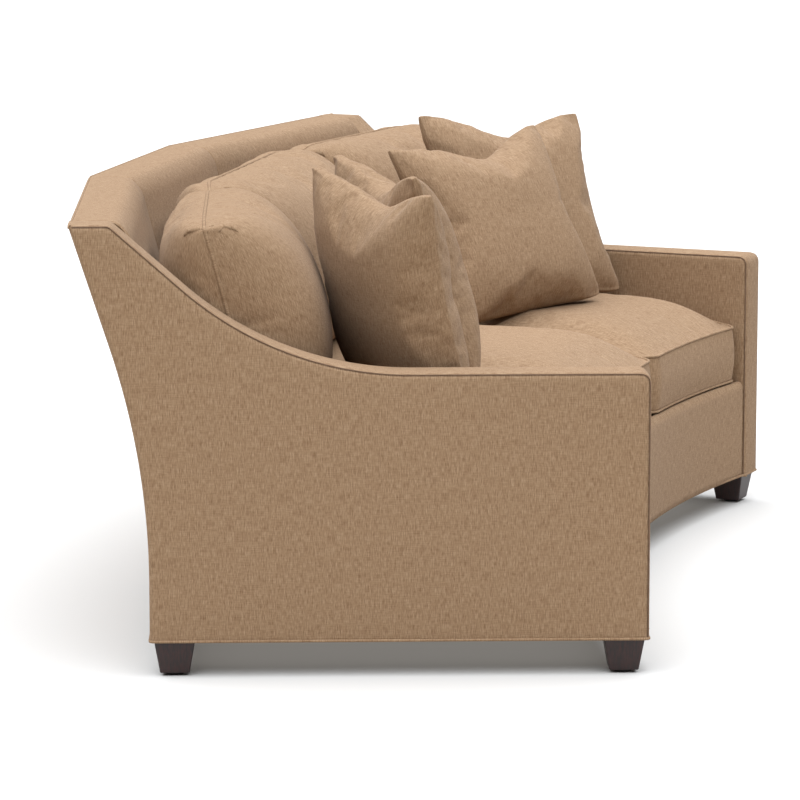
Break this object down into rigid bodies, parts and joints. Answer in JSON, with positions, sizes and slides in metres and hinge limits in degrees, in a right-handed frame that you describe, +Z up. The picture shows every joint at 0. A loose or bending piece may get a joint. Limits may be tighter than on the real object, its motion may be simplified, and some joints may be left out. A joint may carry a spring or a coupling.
{
  "type": "curved sofa",
  "caption": "Wide upholstered sofa with a concave front, a back of angled flat facets, scooped arms, loose welted cushions and throw pillows.",
  "frame": {"origin": "on the floor, under the middle of the overall box", "axes": "+X to the right of a viewer facing the seat, +Y to the back, +Z up"},
  "size_m": [2.5662, 1.3718, 1.0051],
  "materials": {
    "body_fabric": "heathered camel linen-look weave",
    "cushion_fabric": "heathered camel linen-look weave, welted",
    "pillow_fabric": "heathered camel linen-look weave, knife edge",
    "deck_cloth": "plain woven deck cloth",
    "dust_cloth": "black non-woven",
    "webbing": "woven elastic strap",
    "hardwood": "planed, unfinished",
    "plywood": "sanded, unfinished",
    "leg_wood": "dark espresso stain, satin lacquer",
    "steel": "plain wire",
    "glide_plastic": "moulded"
  },
  "bodies": {
    "frame": {"arm_boxing_left": "body_fabric", "arm_boxing_right": "body_fabric", "arm_front_post_left": "hardwood", "arm_front_post_right": "hardwood", "arm_inner_panel_left": "plywood", "arm_inner_panel_right": "plywood", "arm_outer_panel_left": "plywood", "arm_outer_panel_right": "plywood", "arm_rear_post_left": "hardwood", "arm_rear_post_right": "hardwood", "arm_top_rail_left": "hardwood", "arm_top_rail_right": "hardwood", "back_bottom_rail_centre": "hardwood", "back_bottom_rail_left": "hardwood", "back_bottom_rail_right": "hardwood", "back_mitre_post_left": "hardwood", "back_mitre_post_right": "hardwood", "back_tack_rail_centre": "hardwood", "back_tack_rail_left": "hardwood", "back_tack_rail_right": "hardwood", "back_top_rail_centre": "hardwood", "back_top_rail_left": "hardwood", "back_top_rail_right": "hardwood", "back_webbing": "webbing", "dust_cover": "dust_cloth", "front_border_cover": "body_fabric", "front_leg_left": "leg_wood", "front_leg_right": "leg_wood", "front_rail": "hardwood", "hanger_bolts": "steel", "inside_arm_cover_left": "body_fabric", "inside_arm_cover_right": "body_fabric", "inside_back_pad_centre": "body_fabric", "inside_back_pad_left": "body_fabric", "inside_back_pad_right": "body_fabric", "leg_glides": "glide_plastic", "outside_arm_cover_left": "body_fabric", "outside_arm_cover_right": "body_fabric", "outside_back_cover_centre": "body_fabric", "outside_back_cover_left": "body_fabric", "outside_back_cover_right": "body_fabric", "rear_leg_left": "leg_wood", "rear_leg_right": "leg_wood", "seat_deck": "deck_cloth", "seat_springs": "steel", "seat_stretcher_left": "hardwood", "seat_stretcher_right": "hardwood", "spring_clips": "steel", "support_legs": "leg_wood"},
    "seat_cushion_centre": {"seat_cushion_centre": "cushion_fabric"},
    "back_cushion_centre": {"back_cushion_centre": "cushion_fabric"},
    "seat_cushion_left": {"seat_cushion_left": "cushion_fabric"},
    "back_cushion_left": {"back_cushion_left": "cushion_fabric"},
    "rear_pillow_left": {"rear_pillow_left": "pillow_fabric"},
    "front_pillow_left": {"front_pillow_left": "pillow_fabric"},
    "seat_cushion_right": {"seat_cushion_right": "cushion_fabric"},
    "back_cushion_right": {"back_cushion_right": "cushion_fabric"},
    "rear_pillow_right": {"rear_pillow_right": "pillow_fabric"},
    "front_pillow_right": {"front_pillow_right": "pillow_fabric"}
  },
  "joints": [
    {"name": "seat_cushion_centre_lift", "type": "slide", "parent": "frame", "child": "seat_cushion_centre", "axis": [0, 0, 1], "range_m": [0, 0.35]},
    {"name": "back_cushion_centre_lift", "type": "slide", "parent": "seat_cushion_centre", "child": "back_cushion_centre", "axis": [0, 0, 1], "range_m": [0, 0.45]},
    {"name": "seat_cushion_left_lift", "type": "slide", "parent": "seat_cushion_centre", "child": "seat_cushion_left", "axis": [0, 0, 1], "range_m": [0, 0.35]},
    {"name": "back_cushion_left_lift", "type": "slide", "parent": "seat_cushion_left", "child": "back_cushion_left", "axis": [0, 0, 1], "range_m": [0, 0.45]},
    {"name": "rear_pillow_left_lift", "type": "slide", "parent": "back_cushion_left", "child": "rear_pillow_left", "axis": [0, 0, 1], "range_m": [0, 0.45]},
    {"name": "front_pillow_left_lift", "type": "slide", "parent": "rear_pillow_left", "child": "front_pillow_left", "axis": [0, 0, 1], "range_m": [0, 0.45]},
    {"name": "seat_cushion_right_lift", "type": "slide", "parent": "seat_cushion_centre", "child": "seat_cushion_right", "axis": [0, 0, 1], "range_m": [0, 0.35]},
    {"name": "back_cushion_right_lift", "type": "slide", "parent": "seat_cushion_right", "child": "back_cushion_right", "axis": [0, 0, 1], "range_m": [0, 0.45]},
    {"name": "rear_pillow_right_lift", "type": "slide", "parent": "back_cushion_right", "child": "rear_pillow_right", "axis": [0, 0, 1], "range_m": [0, 0.45]},
    {"name": "front_pillow_right_lift", "type": "slide", "parent": "rear_pillow_right", "child": "front_pillow_right", "axis": [0, 0, 1], "range_m": [0, 0.45]}
  ]
}
